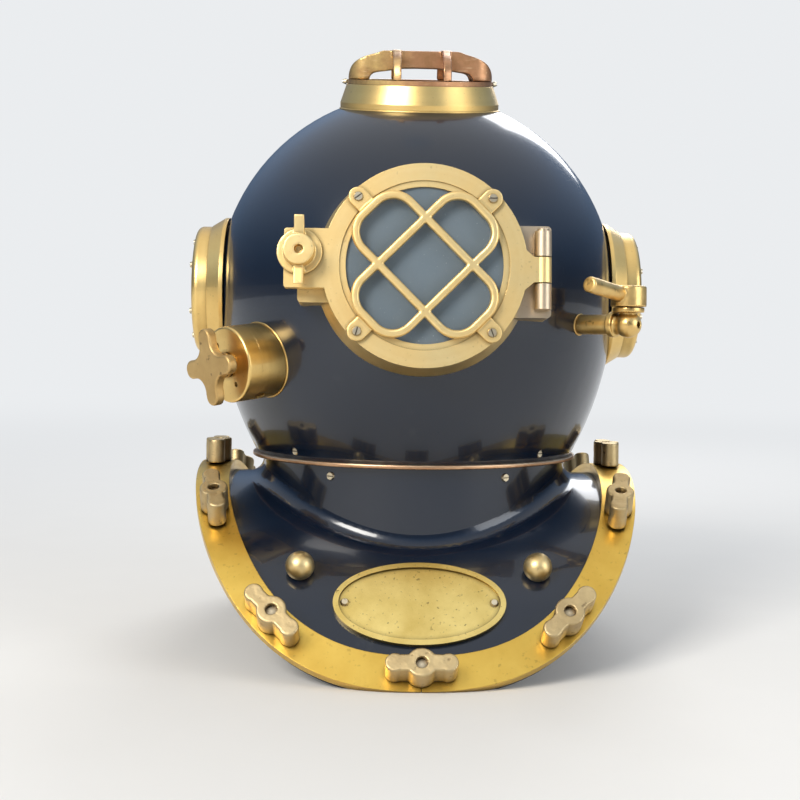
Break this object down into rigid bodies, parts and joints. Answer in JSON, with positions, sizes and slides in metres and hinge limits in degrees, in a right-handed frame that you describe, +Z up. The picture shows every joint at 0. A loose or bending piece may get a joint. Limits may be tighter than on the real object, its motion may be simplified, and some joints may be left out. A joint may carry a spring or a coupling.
{
  "type": "diving helmet",
  "caption": "Standard-dress diving helmet: round bonnet with guarded windows and hinged front door, turned onto a saddle breastplate clamped by brail straps and wing nuts.",
  "frame": {"origin": "centre of the helmet's footprint on the ground it stands on", "axes": "+Z up through the neck joint and the bonnet, -Y to the front window, +X to the wearer's left"},
  "size_m": [0.3676, 0.4522, 0.4801],
  "materials": {
    "painted_copper": "gloss navy paint over copper",
    "door_brass": "satin, machine-turned",
    "polished_brass": "polished",
    "brail_brass": "brushed",
    "cast_brass": "sand cast",
    "screw_brass": "turned",
    "bronze": "warm bronze",
    "window_glass": "clear",
    "rubber": "matt",
    "leather": "greased"
  },
  "bodies": {
    "breastplate": {"breastplate_shell": "painted_copper", "breastplate_neck_ring": "bronze", "neck_gasket": "leather", "collar_screws": "screw_brass", "breastplate_rim": "brail_brass", "brail_front_right": "brail_brass", "brail_front_left": "brail_brass", "brail_back_right": "brail_brass", "brail_back_left": "brail_brass", "brail_studs": "screw_brass", "nameplate": "brail_brass", "nameplate_rivets": "screw_brass", "ball_studs": "cast_brass"},
    "bonnet": {"bonnet_shell": "painted_copper", "bonnet_neck_ring": "bronze", "neck_screws": "screw_brass", "front_seat": "door_brass", "front_gasket": "rubber", "hinge_pin": "screw_brass", "left_port_seat": "polished_brass", "right_port_seat": "polished_brass", "left_port_bezel": "polished_brass", "right_port_bezel": "polished_brass", "left_port_glass": "window_glass", "right_port_glass": "window_glass", "left_port_guard": "polished_brass", "right_port_guard": "polished_brass", "side_guard_screws": "screw_brass", "window_gaskets": "rubber", "top_seat": "polished_brass", "top_bezel": "bronze", "top_glass": "window_glass", "top_guard": "bronze", "top_guard_screws": "screw_brass", "exhaust_body": "polished_brass", "exhaust_cap": "polished_brass", "spitcock_body": "cast_brass", "air_gooseneck": "cast_brass", "telephone_gooseneck": "cast_brass"},
    "door": {"door_ring": "door_brass", "door_glass": "window_glass", "door_guard": "door_brass", "door_guard_screws": "screw_brass"},
    "clamp_screw": {"clamp_screw": "door_brass"},
    "exhaust_wheel": {"exhaust_handwheel": "cast_brass"},
    "exhaust_valve": {"exhaust_stem": "bronze"},
    "spitcock_handle": {"spitcock_lever": "cast_brass"},
    "wing_nut_01": {"wing_nut_01": "cast_brass"},
    "wing_nut_02": {"wing_nut_02": "cast_brass"},
    "wing_nut_03": {"wing_nut_03": "cast_brass"},
    "wing_nut_04": {"wing_nut_04": "cast_brass"},
    "wing_nut_05": {"wing_nut_05": "cast_brass"},
    "wing_nut_06": {"wing_nut_06": "cast_brass"},
    "wing_nut_07": {"wing_nut_07": "cast_brass"},
    "wing_nut_08": {"wing_nut_08": "cast_brass"},
    "wing_nut_09": {"wing_nut_09": "cast_brass"},
    "wing_nut_10": {"wing_nut_10": "cast_brass"},
    "wing_nut_11": {"wing_nut_11": "cast_brass"},
    "wing_nut_12": {"wing_nut_12": "cast_brass"}
  },
  "joints": [
    {"name": "bonnet_turn", "type": "hinge", "parent": "breastplate", "child": "bonnet", "pos_m": [0, 0, 0.14397], "axis": [0, 0, 1], "range_deg": [0, 45]},
    {"name": "door_hinge", "type": "hinge", "parent": "bonnet", "child": "door", "pos_m": [0.084, -0.17771, 0.29039], "axis": [0, 0.0698, 0.9976], "range_deg": [0, 110]},
    {"name": "clamp_screw_turn", "type": "hinge", "parent": "door", "child": "clamp_screw", "pos_m": [-0.088, -0.182, 0.30071], "axis": [0, -0.9976, 0.0698], "continuous": true},
    {"name": "exhaust_wheel_turn", "type": "hinge", "parent": "bonnet", "child": "exhaust_wheel", "pos_m": [-0.14397, -0.12515, 0.21973], "axis": [-0.7499, -0.6518, -0.1132], "continuous": true},
    {"name": "exhaust_valve_slide", "type": "slide", "parent": "bonnet", "child": "exhaust_valve", "axis": [-0.7499, -0.6518, -0.1132], "range_m": [0, 0.005], "stiffness_N_per_m": 150, "springref_m": -0.004},
    {"name": "spitcock_turn", "type": "hinge", "parent": "bonnet", "child": "spitcock_handle", "pos_m": [0.15309, -0.13784, 0.25337], "axis": [0, 0, 1], "range_deg": [0, 90]},
    {"name": "wing_nut_01_turn", "type": "hinge", "parent": "breastplate", "child": "wing_nut_01", "pos_m": [0.163, 0, 0.12897], "axis": [0, 0, 1], "continuous": true},
    {"name": "wing_nut_02_turn", "type": "hinge", "parent": "breastplate", "child": "wing_nut_02", "pos_m": [-0.163, 0, 0.12897], "axis": [0, 0, 1], "continuous": true},
    {"name": "wing_nut_03_turn", "type": "hinge", "parent": "breastplate", "child": "wing_nut_03", "pos_m": [0.15393, -0.09962, 0.10397], "axis": [0, -0.4721, 0.8815], "continuous": true},
    {"name": "wing_nut_04_turn", "type": "hinge", "parent": "breastplate", "child": "wing_nut_04", "pos_m": [0.15393, 0.09962, 0.10397], "axis": [0, 0.4721, 0.8815], "continuous": true},
    {"name": "wing_nut_05_turn", "type": "hinge", "parent": "breastplate", "child": "wing_nut_05", "pos_m": [-0.15393, -0.09962, 0.10397], "axis": [0, -0.4721, 0.8815], "continuous": true},
    {"name": "wing_nut_06_turn", "type": "hinge", "parent": "breastplate", "child": "wing_nut_06", "pos_m": [-0.15393, 0.09962, 0.10397], "axis": [0, 0.4721, 0.8815], "continuous": true},
    {"name": "wing_nut_07_turn", "type": "hinge", "parent": "breastplate", "child": "wing_nut_07", "pos_m": [0.10363, -0.17494, 0.03678], "axis": [0, -0.788, 0.6157], "continuous": true},
    {"name": "wing_nut_08_turn", "type": "hinge", "parent": "breastplate", "child": "wing_nut_08", "pos_m": [0.10363, 0.17494, 0.03678], "axis": [0, 0.788, 0.6157], "continuous": true},
    {"name": "wing_nut_09_turn", "type": "hinge", "parent": "breastplate", "child": "wing_nut_09", "pos_m": [-0.10363, -0.17494, 0.03678], "axis": [0, -0.788, 0.6157], "continuous": true},
    {"name": "wing_nut_10_turn", "type": "hinge", "parent": "breastplate", "child": "wing_nut_10", "pos_m": [-0.10363, 0.17494, 0.03678], "axis": [0, 0.788, 0.6157], "continuous": true},
    {"name": "wing_nut_11_turn", "type": "hinge", "parent": "breastplate", "child": "wing_nut_11", "pos_m": [0, -0.19859, 0.0065], "axis": [0, -0.788, 0.6157], "continuous": true},
    {"name": "wing_nut_12_turn", "type": "hinge", "parent": "breastplate", "child": "wing_nut_12", "pos_m": [0, 0.19859, 0.0065], "axis": [0, 0.788, 0.6157], "continuous": true}
  ]
}
